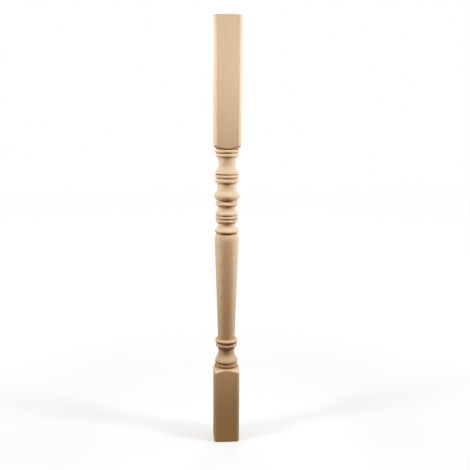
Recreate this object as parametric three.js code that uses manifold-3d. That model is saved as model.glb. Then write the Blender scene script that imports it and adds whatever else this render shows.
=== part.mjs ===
// A turned newel post, made from one length of square timber.
// Square blocks with chamfered edges are left at both ends, and the length between them is turned
// into rings, coves, ogees and a long tapered shaft.
// Millimetres, +Z up, origin at the centre of the foot, front face towards -Y.
import * as THREE from 'three';
import { mergeVertices } from 'three/addons/utils/BufferGeometryUtils.js';
import Module from 'manifold-3d';

// The squared timber. Chamfers run down its four corners, and both ends are bevelled along the four
// faces, far enough in to leave a true square to stand on.
const POST_HEIGHT = 1500;
const POST_WIDTH = 91;
const EDGE_CHAMFER = 8;
const END_BEVEL_WIDTH = 5;
const END_BEVEL_HEIGHT = 1.5;
const TIMBER_COLOUR = 0xd9b996;
const TIMBER_ROUGHNESS = 0.62;

// The square shoulders, where the blocks meet the turning. A shoulder's height is taken at the middle
// of a face. Its slope, the rise for each millimetre of radius, shapes the arches on the faces, and its
// root is the corner where the turning starts.
const LOWER_SHOULDER = 274.5;
const LOWER_ROOT = new THREE.Vector2(39.3, 279);
const UPPER_SHOULDER = 1066.5;
const UPPER_ROOT = new THREE.Vector2(35, 1060.5);
const SHOULDER_SLOPE = 0.7;

// The turned members from the foot up. A radius is where the member ends or, on a ring, its crown.
const SHAFT_TOP_RADIUS = 42.4;
const MEMBERS_BELOW_SHAFT = [
  { shape: 'fillet', height: 2, radius: 38.5 },
  { shape: 'ring', height: 12, radius: 40.7 },
  { shape: 'fillet', height: 2, radius: 35.5 },
  { shape: 'lip', height: 4.5, radius: 40.5 },
  { shape: 'ogee', height: 35, radius: 28.8 },
  { shape: 'cove', height: 18.5, radius: 32.5 },
  { shape: 'ring', height: 14, radius: 38.3 },
  { shape: 'fillet', height: 1, radius: 32 },
  { shape: 'ring', height: 16, radius: 40 },
  { shape: 'fillet', height: 0.5, radius: 30 },
];
const MEMBERS_ABOVE_SHAFT = [
  { shape: 'shoulder', height: 25.5, radius: 35.2 },
  { shape: 'fillet', height: 3, radius: 33.5 },
  { shape: 'lip', height: 7, radius: 42.4 },
  { shape: 'ogee', height: 22, radius: 30.6 },
  { shape: 'cove', height: 8, radius: 33.3 },
  { shape: 'ring', height: 12, radius: 38.8 },
  { shape: 'fillet', height: 0.5, radius: 35 },
  { shape: 'ring', height: 11.5, radius: 39.7 },
  { shape: 'fillet', height: 1, radius: 36.5 },
  { shape: 'lip', height: 6, radius: 39.5 },
  { shape: 'ogee', height: 17.5, radius: 31.2 },
  { shape: 'cove', height: 9.5, radius: 32.5 },
  { shape: 'ring', height: 14.5, radius: 40 },
  { shape: 'fillet', height: 6, radius: 33.3 },
  { shape: 'lip', height: 14.5, radius: 44.6 },
  { shape: 'ogee', height: 31, radius: 32.4 },
  { shape: 'cove', height: 13, radius: 34 },
  { shape: 'ring', height: 17, radius: 41.3 },
  { shape: 'fillet', height: 0.5, radius: 36 },
  { shape: 'ring', height: 12.5, radius: 42 },
  { shape: 'fillet', height: 1, radius: 34.5 },
  { shape: 'lip', height: 2.5, radius: 40.4 },
  { shape: 'ogee', height: 32.5, radius: 29.9 },
  { shape: 'cove', height: 24.5, radius: 35.5 },
  { shape: 'ring', height: 13.5, radius: 40.8 },
  { shape: 'fillet', height: 0.5, radius: 35 },
  { shape: 'ring', height: 12, radius: 42.2 },
];

// How an ogee leaves its lip and reaches its throat, and where a cove's corner lies, as shares of the
// member's height.
const OGEE_LIP_PULL = 1 / 3;
const OGEE_THROAT_PULL = 0.6;
const COVE_CORNER = 0.7;

// How finely the turning is faceted
const TURN_SIDES = 32;
const RING_STEPS = 5;
const EDGE_STEPS = 3;
const OGEE_STEPS = 6;
const COVE_STEPS = 3;

// A radius that clears the block's corners, a length that clears its ends, and the distance within
// which two points of the outline are the same.
const CLEAR_RADIUS = POST_WIDTH;
const CLEAR_LENGTH = 10;
const SAME_POINT = 1e-6;

const QUARTER_TURN = Math.PI / 2;

// Each shape gives the curve of one member, from the point below it to the point above it.
const shapes = {
  // A straight run
  fillet(from, radius, height) {
    return [new THREE.Vector2(radius, from.y), new THREE.Vector2(radius, from.y + height)];
  },
  // A half-round ring that ends at the radius it started from
  ring(from, radius, height) {
    const curve = new THREE.EllipseCurve(
      from.x, from.y + height / 2, radius - from.x, height / 2, -QUARTER_TURN, QUARTER_TURN,
    );
    return curve.getPoints(RING_STEPS);
  },
  // A quarter-round edge that swells out to its radius
  lip(from, radius, height) {
    const curve = new THREE.EllipseCurve(
      from.x, from.y + height, radius - from.x, height, -QUARTER_TURN, 0,
    );
    return curve.getPoints(EDGE_STEPS);
  },
  // A quarter-round edge that draws in to its radius
  shoulder(from, radius, height) {
    const curve = new THREE.EllipseCurve(
      radius, from.y, from.x - radius, height, 0, QUARTER_TURN,
    );
    return curve.getPoints(EDGE_STEPS);
  },
  // An S-curve that leaves and arrives along the post
  ogee(from, radius, height) {
    const end = new THREE.Vector2(radius, from.y + height);
    const curve = new THREE.CubicBezierCurve(
      from,
      new THREE.Vector2(from.x, from.y + height * OGEE_LIP_PULL),
      new THREE.Vector2(end.x, end.y - height * OGEE_THROAT_PULL),
      end,
    );
    return curve.getPoints(OGEE_STEPS);
  },
  // A hollow that starts along the post and flares out to its radius
  cove(from, radius, height) {
    const curve = new THREE.QuadraticBezierCurve(
      from,
      new THREE.Vector2(from.x, from.y + height * COVE_CORNER),
      new THREE.Vector2(radius, from.y + height),
    );
    return curve.getPoints(COVE_STEPS);
  },
};

// Adds a run of members to an outline, each starting where the last one ended.
function addMembers(outline, members) {
  for (const { shape, height, radius } of members) {
    const from = outline.at(-1);
    outline.push(...shapes[shape](from, radius, height));
  }
}

function totalHeight(members) {
  return members.reduce((sum, member) => sum + member.height, 0);
}

// The turned outline as radius and height, from the axis at the foot to the axis at the top.
function turnedOutline() {
  const half = POST_WIDTH / 2;
  const shoulderRun = (CLEAR_RADIUS - half) * SHOULDER_SLOPE;
  const outline = [
    new THREE.Vector2(0, -CLEAR_LENGTH),
    new THREE.Vector2(CLEAR_RADIUS, -CLEAR_LENGTH),
    new THREE.Vector2(CLEAR_RADIUS, LOWER_SHOULDER - shoulderRun),
    new THREE.Vector2(half, LOWER_SHOULDER),
    LOWER_ROOT,
  ];
  addMembers(outline, MEMBERS_BELOW_SHAFT);
  outline.push(new THREE.Vector2(SHAFT_TOP_RADIUS, UPPER_ROOT.y - totalHeight(MEMBERS_ABOVE_SHAFT)));
  addMembers(outline, MEMBERS_ABOVE_SHAFT);
  outline.push(
    UPPER_ROOT,
    new THREE.Vector2(half, UPPER_SHOULDER),
    new THREE.Vector2(CLEAR_RADIUS, UPPER_SHOULDER + shoulderRun),
    new THREE.Vector2(CLEAR_RADIUS, POST_HEIGHT + CLEAR_LENGTH),
    new THREE.Vector2(0, POST_HEIGHT + CLEAR_LENGTH),
  );
  return outline.filter(
    (point, index) => index === 0 || point.distanceTo(outline[index - 1]) > SAME_POINT,
  );
}

// A square bar of the full height, its ends bevelled.
function squareBar() {
  const half = POST_WIDTH / 2;
  const section = new THREE.Shape();
  section.moveTo(half, -half);
  section.lineTo(half, half);
  section.lineTo(-half, half);
  section.lineTo(-half, -half);
  section.closePath();
  const bar = new THREE.ExtrudeGeometry(section, {
    depth: POST_HEIGHT - 2 * END_BEVEL_HEIGHT,
    bevelEnabled: true,
    bevelThickness: END_BEVEL_HEIGHT,
    bevelSize: END_BEVEL_WIDTH,
    bevelOffset: -END_BEVEL_WIDTH,
    bevelSegments: 1,
  });
  return bar.translate(0, 0, END_BEVEL_HEIGHT);
}

// A longer bar, an eighth of a turn round from the first, whose faces cut the chamfers.
function chamferBar() {
  const width = Math.SQRT2 * (POST_WIDTH - EDGE_CHAMFER);
  const bar = new THREE.BoxGeometry(width, width, POST_HEIGHT + 2 * CLEAR_LENGTH);
  return bar.rotateZ(QUARTER_TURN / 2).translate(0, 0, POST_HEIGHT / 2);
}

const wasm = await Module();
wasm.setup();

// A closed geometry as a solid that can be cut.
function solidFrom(geometry) {
  const bare = geometry.clone();
  bare.deleteAttribute('normal');
  bare.deleteAttribute('uv');
  const merged = mergeVertices(bare);
  const corners = merged.index.array;
  const triangles = [];
  for (let i = 0; i < corners.length; i += 3) {
    const [a, b, c] = corners.slice(i, i + 3);
    if (a !== b && b !== c && c !== a) {
      triangles.push(a, b, c);
    }
  }
  return new wasm.Manifold(new wasm.Mesh({
    numProp: 3,
    vertProperties: new Float32Array(merged.attributes.position.array),
    triVerts: new Uint32Array(triangles),
  }));
}

function geometryFrom(solid) {
  const { vertProperties, triVerts } = solid.getMesh();
  const geometry = new THREE.BufferGeometry();
  geometry.setAttribute('position', new THREE.BufferAttribute(vertProperties, 3));
  geometry.setIndex(new THREE.BufferAttribute(triVerts, 1));
  geometry.computeVertexNormals();
  return geometry;
}

// The post is what the chamfered timber and the turned outline share.
function newelPost() {
  const timber = solidFrom(squareBar()).intersect(solidFrom(chamferBar()));
  const turning = new THREE.LatheGeometry(turnedOutline(), TURN_SIDES).rotateX(QUARTER_TURN);
  const post = timber.intersect(solidFrom(turning));
  const bareWood = new THREE.MeshStandardMaterial({
    color: TIMBER_COLOUR,
    roughness: TIMBER_ROUGHNESS,
    metalness: 0,
  });
  const mesh = new THREE.Mesh(geometryFrom(post), bareWood);
  mesh.name = 'newel_post';
  return mesh;
}

const post = new THREE.Group();
post.add(newelPost());

export default post;
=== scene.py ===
# %% [markdown]
# # A turned newel post
#
# A newel is the stout post that a stair's handrail and strings are fixed to. This one is a single
# length of pale timber, planed square with its long edges chamfered, then turned on a lathe between
# two square blocks. It stands on its short block.
#
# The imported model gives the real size, so it is loaded first and its box is kept. The new post is
# then made inside that box, in metres, with +Z up and the front towards -Y.

# %% Load the frame
import math

import bmesh
import bpy
from mathutils import Matrix, Vector
from mathutils.geometry import interpolate_bezier


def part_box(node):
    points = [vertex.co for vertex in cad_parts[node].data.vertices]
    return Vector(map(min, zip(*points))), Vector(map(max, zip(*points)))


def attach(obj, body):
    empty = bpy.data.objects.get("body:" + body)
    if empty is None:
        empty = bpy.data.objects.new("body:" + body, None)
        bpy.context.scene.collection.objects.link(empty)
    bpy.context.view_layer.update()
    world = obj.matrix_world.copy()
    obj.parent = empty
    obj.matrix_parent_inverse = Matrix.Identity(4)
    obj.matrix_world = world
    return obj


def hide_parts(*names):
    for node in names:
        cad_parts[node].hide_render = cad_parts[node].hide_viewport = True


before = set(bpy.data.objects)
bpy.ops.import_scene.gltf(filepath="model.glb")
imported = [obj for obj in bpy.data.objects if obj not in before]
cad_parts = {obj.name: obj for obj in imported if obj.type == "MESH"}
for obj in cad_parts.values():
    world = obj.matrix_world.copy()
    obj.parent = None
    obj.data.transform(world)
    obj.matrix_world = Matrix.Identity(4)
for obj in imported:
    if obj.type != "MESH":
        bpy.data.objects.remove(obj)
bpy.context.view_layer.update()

post_low, post_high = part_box("newel_post")
post_width = post_high.x - post_low.x
post_height = post_high.z - post_low.z
print(f"timber {post_width * 1000:.0f} mm square, {post_height * 1000:.0f} mm long")

# %% [markdown]
# ## The turner's shapes
#
# A turner cuts a post from a handful of shapes, one above the other: flat fillets, half-round rings,
# lips that swell out, hollow coves and S-shaped ogees. Each can be a short function that takes the
# point where the last shape ended and gives the points of the next one, which keeps the outline to a
# few sizes that can be read and changed. Round stretches are arcs of an ellipse, and the freer
# curves are Bezier curves whose handles lie along the post. A cove bends towards a single corner, and
# a curve with one corner is the same as one whose two handles go two thirds of the way to it.

# %% Shapes of the turning
ARC_STEPS = 12
CURVE_POINTS = 17
OGEE_LIP_PULL = 1 / 3
OGEE_THROAT_PULL = 0.6
COVE_CORNER = 0.7
COVE_PULL = 2 / 3


def outline_point(radius, height):
    return Vector((radius, 0, height))


def arc(centre, reach, rise, start_turn, end_turn):
    points = []
    for step in range(ARC_STEPS + 1):
        turn = (start_turn + (end_turn - start_turn) * step / ARC_STEPS) * math.tau
        points.append(centre + outline_point(reach * math.cos(turn), rise * math.sin(turn)))
    return points


def fillet(start, height, radius):
    return [outline_point(radius, start.z), outline_point(radius, start.z + height)]


def ring(start, height, radius):
    middle = outline_point(start.x, start.z + height / 2)
    return arc(middle, radius - start.x, height / 2, -1 / 4, 1 / 4)


def lip(start, height, radius):
    return arc(outline_point(start.x, start.z + height), radius - start.x, height, -1 / 4, 0)


def shoulder(start, height, radius):
    return arc(outline_point(radius, start.z), start.x - radius, height, 0, 1 / 4)


def ogee(start, height, radius):
    end = outline_point(radius, start.z + height)
    lip_handle = start + outline_point(0, height * OGEE_LIP_PULL)
    throat_handle = end - outline_point(0, height * OGEE_THROAT_PULL)
    return interpolate_bezier(start, lip_handle, throat_handle, end, CURVE_POINTS)


def cove(start, height, radius):
    end = outline_point(radius, start.z + height)
    corner = start + outline_point(0, height * COVE_CORNER)
    lower_handle = start.lerp(corner, COVE_PULL)
    upper_handle = end.lerp(corner, COVE_PULL)
    return interpolate_bezier(start, lower_handle, upper_handle, end, CURVE_POINTS)


print("shapes:", ", ".join(shape.__name__ for shape in (fillet, ring, lip, shoulder, ogee, cove)))

# %% [markdown]
# ## The turned outline
#
# The members are listed from the foot up, each with its height and the radius where it ends, or the
# radius of its crown on a ring. The long tapered shaft is whatever length is left between the lower
# members and the upper ones. At both ends the outline runs out past the corners of the square blocks
# on a slope: that slope is the turned shoulder, which later shows as an arch on each flat face.

# %% Members of the turning
LOWER_SHOULDER = 0.2745
UPPER_SHOULDER = 1.0665
SHOULDER_SLOPE = 0.7
LOWER_ROOT = outline_point(0.0393, 0.279)
UPPER_ROOT = outline_point(0.035, 1.0605)
SHAFT_TOP_RADIUS = 0.0424

MEMBERS_BELOW_SHAFT = [
    (fillet, 0.002, 0.0385),
    (ring, 0.012, 0.0407),
    (fillet, 0.002, 0.0355),
    (lip, 0.0045, 0.0405),
    (ogee, 0.035, 0.0288),
    (cove, 0.0185, 0.0325),
    (ring, 0.014, 0.0383),
    (fillet, 0.001, 0.032),
    (ring, 0.016, 0.040),
    (fillet, 0.0005, 0.030),
]
MEMBERS_ABOVE_SHAFT = [
    (shoulder, 0.0255, 0.0352),
    (fillet, 0.003, 0.0335),
    (lip, 0.007, 0.0424),
    (ogee, 0.022, 0.0306),
    (cove, 0.008, 0.0333),
    (ring, 0.012, 0.0388),
    (fillet, 0.0005, 0.035),
    (ring, 0.0115, 0.0397),
    (fillet, 0.001, 0.0365),
    (lip, 0.006, 0.0395),
    (ogee, 0.0175, 0.0312),
    (cove, 0.0095, 0.0325),
    (ring, 0.0145, 0.040),
    (fillet, 0.006, 0.0333),
    (lip, 0.0145, 0.0446),
    (ogee, 0.031, 0.0324),
    (cove, 0.013, 0.034),
    (ring, 0.017, 0.0413),
    (fillet, 0.0005, 0.036),
    (ring, 0.0125, 0.042),
    (fillet, 0.001, 0.0345),
    (lip, 0.0025, 0.0404),
    (ogee, 0.0325, 0.0299),
    (cove, 0.0245, 0.0355),
    (ring, 0.0135, 0.0408),
    (fillet, 0.0005, 0.035),
    (ring, 0.012, 0.0422),
]

CLEARANCE = 0.01

clear_radius = post_width / math.sqrt(2) + CLEARANCE
shoulder_run = (clear_radius - post_width / 2) * SHOULDER_SLOPE

outline = [
    outline_point(clear_radius, post_low.z - CLEARANCE),
    outline_point(clear_radius, LOWER_SHOULDER - shoulder_run),
    outline_point(post_width / 2, LOWER_SHOULDER),
    LOWER_ROOT,
]
for shape, height, radius in MEMBERS_BELOW_SHAFT:
    outline += shape(outline[-1], height, radius)
upper_length = sum(height for shape, height, radius in MEMBERS_ABOVE_SHAFT)
outline.append(outline_point(SHAFT_TOP_RADIUS, UPPER_ROOT.z - upper_length))
for shape, height, radius in MEMBERS_ABOVE_SHAFT:
    outline += shape(outline[-1], height, radius)
outline += [
    UPPER_ROOT,
    outline_point(post_width / 2, UPPER_SHOULDER),
    outline_point(clear_radius, UPPER_SHOULDER + shoulder_run),
    outline_point(clear_radius, post_high.z + CLEARANCE),
]
print(f"turned outline: {len(outline)} points")

# %% [markdown]
# ## Drawing the outline and spinning it
#
# In the editor a lathe shape starts as one vertex that is extruded from point to point, and Spin then
# carries that line round the axis. The same two operators do it here. A full turn is given use_merge,
# so that the last step joins the first, and the doubled points between two members are merged. With
# this many steps no facet of the turned length is wider than 2 mm. What comes off the lathe is smooth
# to the eye, so all of its faces are shaded smooth.

# %% Spin the outline
TURN_STEPS = 176
SAME_PLACE = 0.00001

post_mesh = bmesh.new()
tip = post_mesh.verts.new(outline[0])
for point in outline[1:]:
    tip = bmesh.ops.extrude_vert_indiv(post_mesh, verts=[tip])["verts"][0]
    tip.co = point
bmesh.ops.remove_doubles(post_mesh, verts=post_mesh.verts[:], dist=SAME_PLACE)
bmesh.ops.spin(
    post_mesh,
    geom=post_mesh.verts[:] + post_mesh.edges[:],
    cent=(0, 0, 0),
    axis=(0, 0, 1),
    angle=math.tau,
    steps=TURN_STEPS,
    use_merge=True,
)
bmesh.ops.remove_doubles(post_mesh, verts=post_mesh.verts[:], dist=SAME_PLACE)
bmesh.ops.recalc_face_normals(post_mesh, faces=post_mesh.faces[:])
for face in post_mesh.faces:
    face.smooth = True
print(f"spun blank: {len(post_mesh.faces)} faces")

# %% [markdown]
# ## Planing the blocks square
#
# The timber was square before it was turned, so each flat is a plane that slices the spun shape. The
# two ends are cut first, which closes the shape, then the four faces and the four chamfers. Bisect
# throws away what lies outside a plane, and filling the hole it leaves makes the flat, which keeps its
# own direction instead of a smooth one. The arches at the shoulders come from the cut itself, as they
# do on the real post.

# %% Cut the ends, faces and chamfers
EDGE_CHAMFER = 0.008
ON_PLANE = 0.000001
UP = Vector((0, 0, 1))


def plane_off(mesh, place, outward):
    cut = bmesh.ops.bisect_plane(
        mesh,
        geom=mesh.verts[:] + mesh.edges[:] + mesh.faces[:],
        dist=ON_PLANE,
        plane_co=place,
        plane_no=outward,
        clear_outer=True,
    )
    rim = [edge for edge in cut["geom_cut"] if isinstance(edge, bmesh.types.BMEdge)]
    for flat in bmesh.ops.holes_fill(mesh, edges=rim, sides=0)["faces"]:
        flat.smooth = False


def sideways(turn):
    return Vector((math.cos(turn), math.sin(turn), 0))


half_width = post_width / 2
chamfer_depth = (post_width - EDGE_CHAMFER) / math.sqrt(2)
face_turns = [quarter * math.tau / 4 for quarter in range(4)]
plane_off(post_mesh, post_low, -UP)
plane_off(post_mesh, post_high, UP)
for face_turn in face_turns:
    face_outward = sideways(face_turn)
    plane_off(post_mesh, face_outward * half_width, face_outward)
    chamfer_outward = sideways(face_turn + math.tau / 8)
    plane_off(post_mesh, chamfer_outward * chamfer_depth, chamfer_outward)
print(f"squared post: {len(post_mesh.faces)} faces")

# %% [markdown]
# ## Easing the edges
#
# No worked edge is knife sharp. Both sawn ends are bevelled along the four faces, with slanting planes
# that leave a true square to stand on. Every hard edge of the blocks is then rubbed down with abrasive
# paper: Bevel gives a small round to the arrises, the arches and the ends.

# %% Bevel the ends and ease the arrises
END_BEVEL_WIDTH = 0.005
END_BEVEL_HEIGHT = 0.0015
ARRIS_EASE = 0.0006
ARRIS_SEGMENTS = 2
HARD_ANGLE = math.radians(25)


def on_block(edge):
    below = all(end.co.z < LOWER_ROOT.z - SAME_PLACE for end in edge.verts)
    above = all(end.co.z > UPPER_ROOT.z + SAME_PLACE for end in edge.verts)
    return (below or above) and edge.calc_face_angle() > HARD_ANGLE


for face_turn in face_turns:
    face_outward = sideways(face_turn)
    for end_place, end_outward in ((post_low, -UP), (post_high, UP)):
        bevel_place = face_outward * (half_width - END_BEVEL_WIDTH) + UP * end_place.z
        bevel_outward = face_outward * END_BEVEL_HEIGHT + end_outward * END_BEVEL_WIDTH
        plane_off(post_mesh, bevel_place, bevel_outward)
bmesh.ops.remove_doubles(post_mesh, verts=post_mesh.verts[:], dist=SAME_PLACE)
bmesh.ops.recalc_face_normals(post_mesh, faces=post_mesh.faces[:])

hard_edges = [edge for edge in post_mesh.edges if on_block(edge)]
rounds = bmesh.ops.bevel(
    post_mesh,
    geom=hard_edges,
    offset=ARRIS_EASE,
    offset_type="OFFSET",
    affect="EDGES",
    segments=ARRIS_SEGMENTS,
    profile=0.5,
    material=-1,
    clamp_overlap=True,
)
for face in rounds["faces"]:
    face.smooth = True
bmesh.ops.remove_doubles(post_mesh, verts=post_mesh.verts[:], dist=SAME_PLACE)
bmesh.ops.recalc_face_normals(post_mesh, faces=post_mesh.faces[:])
open_edges = sum(not edge.is_manifold for edge in post_mesh.edges)
print(f"eased post: {len(hard_edges)} hard edges rounded, {open_edges} open edges")

# %% [markdown]
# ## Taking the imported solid's place
#
# The edges of the turned grooves should stay crisp, so an angle limit marks them sharp. The finished
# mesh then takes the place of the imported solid, which goes on standing for it in the simulation.

# %% Finish the post's mesh
GROOVE_ANGLE = math.radians(38)

newel = bpy.data.meshes.new("newel")
post_mesh.to_mesh(newel)
post_mesh.free()
newel.set_sharp_from_angle(angle=GROOVE_ANGLE)
post = bpy.data.objects.new("newel", newel)
bpy.context.scene.collection.objects.link(post)
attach(post, "root")
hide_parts("newel_post")
newel.calc_loop_triangles()
print(f"newel: {len(newel.loop_triangles)} triangles")

# %% [markdown]
# ## Bare timber: where the heart of the log lay
#
# Wood is a solid material: the grain runs right through the post, and every cut shows it from another
# side. A solid texture, read from Object coordinates, does the same, so the growth rings come out as
# fine lines on the flats, as nested curves on the rings and coves, and as arcs on the sawn ends. The
# first nodes move the middle of the pattern to where the heart of the log lay, behind and to the
# right of the post, and lean it a little, because no log is quite straight.

# %% The log's own coordinates
HEART = Vector((0.09, 0.13, 0))
GRAIN_LEAN = Vector((math.radians(0.7), math.radians(-0.5), 0))

timber = bpy.data.materials.new("bare_timber")
timber.use_nodes = True
grain = timber.node_tree
timber_shader = grain.nodes["Principled BSDF"]


def add(tree, kind, settings=(), **links):
    """A new node. Links are named by the socket, or i0, i1 and so on by its number."""
    node = tree.nodes.new(kind)
    for name, value in dict(settings).items():
        setattr(node, name, value)
    for name, value in links.items():
        number = name[1:]
        socket = node.inputs[int(number) if number.isdigit() else name.replace("_", " ")]
        if isinstance(value, bpy.types.NodeSocket):
            tree.links.new(value, socket)
        else:
            socket.default_value = value
    return node


def maths(operation, **values):
    return add(grain, "ShaderNodeMath", {"operation": operation}, **values).outputs[0]


def sum_of(first, second):
    return maths("ADD", i0=first, i1=second)


def product_of(first, second):
    return maths("MULTIPLY", i0=first, i1=second)


def stretched(vector, scale):
    multiply = {"operation": "MULTIPLY"}
    return add(grain, "ShaderNodeVectorMath", multiply, i0=vector, i1=scale).outputs[0]


def centred_noise(vector, scale, detail, roughness=0.5):
    """Noise between about -1 and 1, drawn out by a scale for each axis."""
    cloud = add(
        grain,
        "ShaderNodeTexNoise",
        Vector=stretched(vector, scale),
        Scale=1.0,
        Detail=detail,
        Roughness=roughness,
    ).outputs["Fac"]
    return sum_of(product_of(cloud, 2.0), -1.0)


def ramped(value, start, full):
    """0 up to the start, 1 from full on, and a smooth rise between them."""
    rise = add(
        grain,
        "ShaderNodeMapRange",
        {"interpolation_type": "SMOOTHSTEP"},
        Value=value,
        From_Min=start,
        From_Max=full,
    )
    return rise.outputs["Result"]


place = add(grain, "ShaderNodeTexCoord").outputs["Object"]
log_place = add(
    grain, "ShaderNodeMapping", Vector=place, Location=-HEART, Rotation=GRAIN_LEAN
).outputs[0]
print("heart of the log", [round(value, 3) for value in HEART])

# %% [markdown]
# ## Growth rings
#
# Each year adds a pale spring layer that darkens slowly into a thin summer line, then stops sharply.
# Dividing the distance from the heart by the width of a year counts the years, and the fraction left
# over tells the season. Broad noise bends the rings along the log, and slow noise over the years
# makes some of them wide and some narrow. A colour ramp then turns the season into light and dark.

# %% Growth rings
YEAR_WIDTH = 0.0021
RING_BEND = 0.005
BEND_SCALE = (7, 7, 1.1)
YEAR_UNEVENNESS = 0.8
YEARS_SCALE = 0.31
ACROSS = (1, 1, 0)
SPRING_SHADE = 0.12
SUMMER_STOPS = ((0.5, 0.1), (0.8, 0.62), (0.92, 1.0))


def grey(shade):
    return (shade, shade, shade, 1)


flat_place = stretched(log_place, ACROSS)
from_heart = add(grain, "ShaderNodeVectorMath", {"operation": "LENGTH"}, i0=flat_place).outputs["Value"]
bend = centred_noise(log_place, BEND_SCALE, detail=2.0)
bent_distance = sum_of(from_heart, product_of(bend, RING_BEND))
years = product_of(bent_distance, 1 / YEAR_WIDTH)
good_years = add(
    grain, "ShaderNodeTexNoise", {"noise_dimensions": "1D"}, W=years, Scale=YEARS_SCALE, Detail=2.0
).outputs["Fac"]
uneven_years = sum_of(years, product_of(good_years, YEAR_UNEVENNESS / YEARS_SCALE))
season = maths("FRACT", i0=uneven_years)
summer_line = add(grain, "ShaderNodeValToRGB", Fac=season)
shades = summer_line.color_ramp
shades.interpolation = "EASE"
for end_stop in shades.elements:
    end_stop.color = grey(SPRING_SHADE)
for stop, shade in SUMMER_STOPS:
    shades.elements.new(stop).color = grey(shade)
summer = summer_line.outputs["Color"]
print(f"a growth ring every {YEAR_WIDTH * 1000:.1f} mm")

# %% [markdown]
# ## Fibres, pores and drifts of colour
#
# Between the rings the wood is a bundle of fibres along the trunk. Noise drawn out hard along Z gives
# fine streaks, a second finer one cut off by a ramp gives short dark pores, and a broad faint one
# makes some bands pinker and some more straw-coloured, as the bare timber shows.

# %% Fibres and pores
FIBRE_SCALE = (650, 650, 7)
PORE_SCALE = (1500, 1500, 26)
DRIFT_SCALE = (38, 38, 1.3)
PORE_START = 0.28
PORE_FULL = 0.5
DRIFT_RANGE = 0.5

fibres = centred_noise(log_place, FIBRE_SCALE, detail=3.0, roughness=0.6)
pores = ramped(centred_noise(log_place, PORE_SCALE, detail=1.0), PORE_START, PORE_FULL)
drift = ramped(centred_noise(log_place, DRIFT_SCALE, detail=2.0), -DRIFT_RANGE, DRIFT_RANGE)
print(f"fibres {1000 / FIBRE_SCALE[0]:.1f} mm wide, colour bands {1000 / DRIFT_SCALE[0]:.0f} mm wide")

# %% [markdown]
# ## Colour of the timber
#
# The base mixes a pinkish band with a straw-coloured one. Summer lines, fibres and pores then darken
# it a little: seen from across a room the post looks almost even, and close to it has a fine straight
# grain. Sawn ends drink in light and look darker, and their rings stand out more. How much a face
# points along the trunk tells how much end grain it shows.

# %% Timber colour
PINK_TIMBER = (0.77, 0.568, 0.45, 1)
STRAW_TIMBER = (0.75, 0.589, 0.438, 1)
SUMMER_TINT = (0.80, 0.72, 0.62, 1)
PORE_TINT = (0.82, 0.76, 0.68, 1)
END_TINT = (0.74, 0.66, 0.58, 1)
SUMMER_SHARE = 0.5
PORE_SHARE = 0.5
FIBRE_CONTRAST = 0.05
END_GRAIN_START = 0.8
END_GRAIN_FULL = 0.98


def mixed(first, second, share, blend="MIX"):
    settings = {"data_type": "RGBA", "blend_type": blend}
    return add(grain, "ShaderNodeMix", settings, i0=share, i6=first, i7=second).outputs[2]


def tinted(colour, tint, share):
    return mixed(colour, tint, share, "MULTIPLY")


normal = add(grain, "ShaderNodeNewGeometry").outputs["Normal"]
facing = add(grain, "ShaderNodeSeparateXYZ", Vector=normal).outputs["Z"]
along_trunk = maths("ABSOLUTE", i0=facing)
end_grain = ramped(along_trunk, END_GRAIN_START, END_GRAIN_FULL)
bands = mixed(PINK_TIMBER, STRAW_TIMBER, drift)
ringed = tinted(bands, SUMMER_TINT, product_of(summer, SUMMER_SHARE))
end_ringed = tinted(ringed, SUMMER_TINT, product_of(summer, end_grain))
pored = tinted(end_ringed, PORE_TINT, product_of(pores, PORE_SHARE))
fibre_light = sum_of(product_of(fibres, FIBRE_CONTRAST), 1.0)
streaked = add(
    grain, "ShaderNodeVectorMath", {"operation": "SCALE"}, i0=pored, Scale=fibre_light
).outputs[0]
timber_colour = tinted(streaked, END_TINT, end_grain)
grain.links.new(timber_colour, timber_shader.inputs["Base Color"])
print("bands from", PINK_TIMBER[:3], "to", STRAW_TIMBER[:3])

# %% [markdown]
# ## Feel of the surface
#
# The post is sanded but has no varnish, so it is matt, with a roughness that wanders with the fibres.
# Hard summer lines stand a hair proud of the soft spring wood, and on the turned length the tool has
# left faint hoops. Both go into one Bump node, at the depth of a few hundredths of a millimetre.

# %% Timber surface
DULL = 0.66
DULL_RANGE = 0.08
HOOP_SCALE = (3, 3, 900)
HOOP_HEIGHT = 0.5
RELIEF = 0.00012
RELIEF_STRENGTH = 0.6
SHINE = 0.3

height_up = add(grain, "ShaderNodeSeparateXYZ", Vector=place).outputs["Z"]
above_lower_block = maths("GREATER_THAN", i0=height_up, i1=LOWER_ROOT.z)
below_upper_block = maths("LESS_THAN", i0=height_up, i1=UPPER_ROOT.z)
turned = product_of(above_lower_block, below_upper_block)
hoops = product_of(centred_noise(place, HOOP_SCALE, detail=1.0), turned)
relief = sum_of(sum_of(summer, fibres), product_of(hoops, HOOP_HEIGHT))
bump = add(grain, "ShaderNodeBump", Height=relief, Strength=RELIEF_STRENGTH, Distance=RELIEF)
grain.links.new(bump.outputs["Normal"], timber_shader.inputs["Normal"])
dullness = sum_of(product_of(fibres, DULL_RANGE), DULL)
grain.links.new(dullness, timber_shader.inputs["Roughness"])
timber_shader.inputs["Specular IOR Level"].default_value = SHINE
newel.materials.append(timber)
print(f"bare timber: {len(grain.nodes)} nodes")

# %% [markdown]
# ## A plain pale floor
#
# The post is shown by itself, on a pale floor that runs off into white. The floor is a grid of one
# face, and its paint glows a little more the further it lies from the post, so that it has no visible
# end while a soft shadow still ties the foot to the ground. Light that the floor would throw back up
# is left to a lamp and the backdrop further on, which make it even from every side.

# %% Floor
FLOOR_SIZE = 12
FLOOR_PAINT = (0.79, 0.8, 0.825, 1)
FLOOR_DULL = 0.9
GLOW_COLOUR = (0.97, 1, 1.06, 1)
NEAR_GLOW = 0.205
FAR_GLOW = 0.85
GLOW_START = 0.2
GLOW_FULL = 2.1

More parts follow.
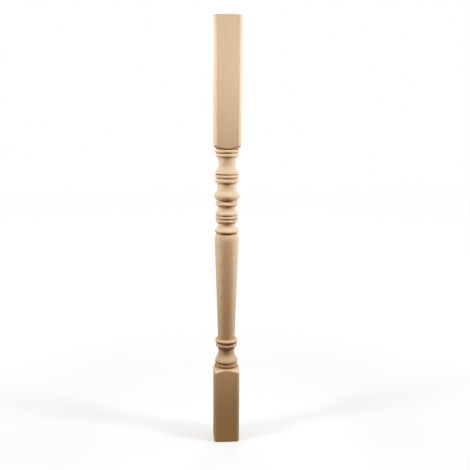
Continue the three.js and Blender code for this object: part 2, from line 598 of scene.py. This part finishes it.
floor_sheet = bmesh.new()
bmesh.ops.create_grid(floor_sheet, x_segments=1, y_segments=1, size=FLOOR_SIZE / 2)
floor_mesh = bpy.data.meshes.new("floor")
floor_sheet.to_mesh(floor_mesh)
floor_sheet.free()
floor = bpy.data.objects.new("floor", floor_mesh)
bpy.context.scene.collection.objects.link(floor)
floor.visible_diffuse = False
floor.visible_glossy = False

paint = bpy.data.materials.new("pale_floor")
paint.use_nodes = True
paint_nodes = paint.node_tree
paint_shader = paint_nodes.nodes["Principled BSDF"]
paint_shader.inputs["Base Color"].default_value = FLOOR_PAINT
paint_shader.inputs["Roughness"].default_value = FLOOR_DULL
paint_shader.inputs["Emission Color"].default_value = GLOW_COLOUR
floor_place = add(paint_nodes, "ShaderNodeTexCoord").outputs["Object"]
from_post = add(paint_nodes, "ShaderNodeVectorMath", {"operation": "LENGTH"}, i0=floor_place)
glow = add(
    paint_nodes,
    "ShaderNodeMapRange",
    {"interpolation_type": "SMOOTHSTEP"},
    Value=from_post.outputs["Value"],
    From_Min=GLOW_START,
    From_Max=GLOW_FULL,
    To_Min=NEAR_GLOW,
    To_Max=FAR_GLOW,
).outputs["Result"]
paint_nodes.links.new(glow, paint_shader.inputs["Emission Strength"])
floor_mesh.materials.append(paint)
print(f"floor {FLOOR_SIZE} m across")

# %% [markdown]
# ## Studio light
#
# Turned work shows best under light from the sides: each ring then has a bright shoulder, and its
# shadow falls in a point on the hollow below it. So the softboxes come in pairs, left and right of
# the post: small ones high up at the front, faint narrow ones close to the sides that keep both edges
# of the shaft from going dark, and small ones at the back. One overhead lights the sawn end, and a
# faint warm one lies flat round the foot, for the light that a floor throws back up and that fades
# with height. An area lamp shines along its own -Z, so each is turned to look at the middle of the
# post.

# %% Softboxes
KEY_SIZE = (0.2, 0.2)
KEY_DISTANCE = 0.9
KEY_HEIGHT = 1.45
FRONT_BEARING = 66
FRONT_POWERS = {"left": 7.9, "right": 8.7}
BACK_BEARING = 160
BACK_POWER = 3.0
STRIP_SIZE = (0.2, 0.7)
STRIP_DISTANCE = 0.6
STRIP_HEIGHT = 0.7
STRIP_BEARING = 95
STRIP_POWERS = {"left": 0.9, "right": 1.6}
TOP_SIZE = (0.4, 0.4)
TOP_HEIGHT = 2.4
TOP_POWER = 8.0
BOUNCE_SIZE = (0.5, 0.5)
BOUNCE_HEIGHT = 0.003
BOUNCE_POWER = 0.19
BOUNCE_COLOUR = (1, 0.86, 0.66)
NEUTRAL = (1, 1, 1)

aim = Vector((0, 0, post_height / 2))


def softbox(name, place, size, power, colour=NEUTRAL):
    lamp = bpy.data.lights.new(name, "AREA")
    lamp.shape = "RECTANGLE"
    lamp.size, lamp.size_y = size
    lamp.energy = power
    lamp.color = colour
    box = bpy.data.objects.new(name, lamp)
    box.location = place
    box.rotation_euler = (aim - box.location).to_track_quat("-Z", "Y").to_euler()
    box.visible_camera = False
    bpy.context.scene.collection.objects.link(box)


def around_post(bearing, distance, height):
    """A place round the post, turned from the front towards +X by a bearing in degrees."""
    turn = math.radians(bearing)
    return Vector((distance * math.sin(turn), -distance * math.cos(turn), height))


for side, hand in (("left", -1), ("right", 1)):
    front_place = around_post(hand * FRONT_BEARING, KEY_DISTANCE, KEY_HEIGHT)
    back_place = around_post(hand * BACK_BEARING, KEY_DISTANCE, KEY_HEIGHT)
    strip_place = around_post(hand * STRIP_BEARING, STRIP_DISTANCE, STRIP_HEIGHT)
    softbox(f"{side}_front", front_place, KEY_SIZE, FRONT_POWERS[side])
    softbox(f"{side}_back", back_place, KEY_SIZE, BACK_POWER)
    softbox(f"{side}_strip", strip_place, STRIP_SIZE, STRIP_POWERS[side])
softbox("top", Vector((0, 0, TOP_HEIGHT)), TOP_SIZE, TOP_POWER)
softbox("bounce", Vector((0, 0, BOUNCE_HEIGHT)), BOUNCE_SIZE, BOUNCE_POWER, BOUNCE_COLOUR)

# %% [markdown]
# ## Backdrop
#
# The camera sees pure white all round. The post is lit by a much dimmer and warmer white, warmest from
# above. A world can do both, because Light Path tells rays that come straight from the camera from
# those that gather light.

# %% Backdrop
LOW_FILL = (0.177, 0.168, 0.134, 1)
HIGH_FILL = (0.2, 0.168, 0.114, 1)
WHITE = (1, 1, 1, 1)

world = bpy.data.worlds.new("white_backdrop")
bpy.context.scene.world = world
world.use_nodes = True
sky = world.node_tree
colours = {"data_type": "RGBA"}
direction = add(sky, "ShaderNodeTexCoord").outputs["Generated"]
upward = add(sky, "ShaderNodeSeparateXYZ", Vector=direction).outputs["Z"]
from_above = add(sky, "ShaderNodeMath", {"operation": "GREATER_THAN"}, i0=upward, i1=0.0).outputs[0]
fill = add(sky, "ShaderNodeMix", colours, i0=from_above, i6=LOW_FILL, i7=HIGH_FILL).outputs[2]
to_camera = add(sky, "ShaderNodeLightPath").outputs["Is Camera Ray"]
shown = add(sky, "ShaderNodeMix", colours, i0=to_camera, i6=fill, i7=WHITE).outputs[2]
sky.links.new(shown, sky.nodes["Background"].inputs["Color"])
print("fill from below", LOW_FILL[:3], "and from above", HIGH_FILL[:3])

# %% [markdown]
# ## Contrast of the print
#
# A photographic print darkens the shadows and lifts the lights. The colour management has a curve for
# that. It works on the light before it becomes screen colour, with 1 as paper white, so the points
# below say how bright each amount of light comes out.

# %% Print curve
CONTRAST_POINTS = ((0.1, 0.046), (0.2, 0.149), (0.4, 0.4165), (0.7, 0.769))
ALL_COLOURS = 3

look = bpy.context.scene.view_settings
look.view_transform = "Standard"
look.use_curve_mapping = True
for light, paper in CONTRAST_POINTS:
    look.curve_mapping.curves[ALL_COLOURS].points.new(light, paper)
look.curve_mapping.update()
print(f"contrast curve through {len(CONTRAST_POINTS)} points")

# %% [markdown]
# ## Camera
#
# The camera stands in front of the post, a few degrees round to the left and level with the upper
# block, and looks slightly down. The turn goes round the post's own axis, so the camera's place is
# written as seen square on and then turned with it.

# %% Camera
LENS = 58.2
SQUARE_ON = Vector((0.0255, -2.5937, 1.3109))
CAMERA_TURN = math.radians(-4.09)
CAMERA_DIP = math.radians(11.98)
CAMERA_ROLL = math.radians(-0.35)

camera_data = bpy.data.cameras.new("camera")
camera_data.lens = LENS
camera = bpy.data.objects.new("camera", camera_data)
bpy.context.scene.collection.objects.link(camera)
camera.location = Matrix.Rotation(CAMERA_TURN, 3, "Z") @ SQUARE_ON
camera.rotation_euler = (math.tau / 4 - CAMERA_DIP, CAMERA_ROLL, CAMERA_TURN)
bpy.context.scene.camera = camera
print("camera at", [round(value, 3) for value in camera.location])
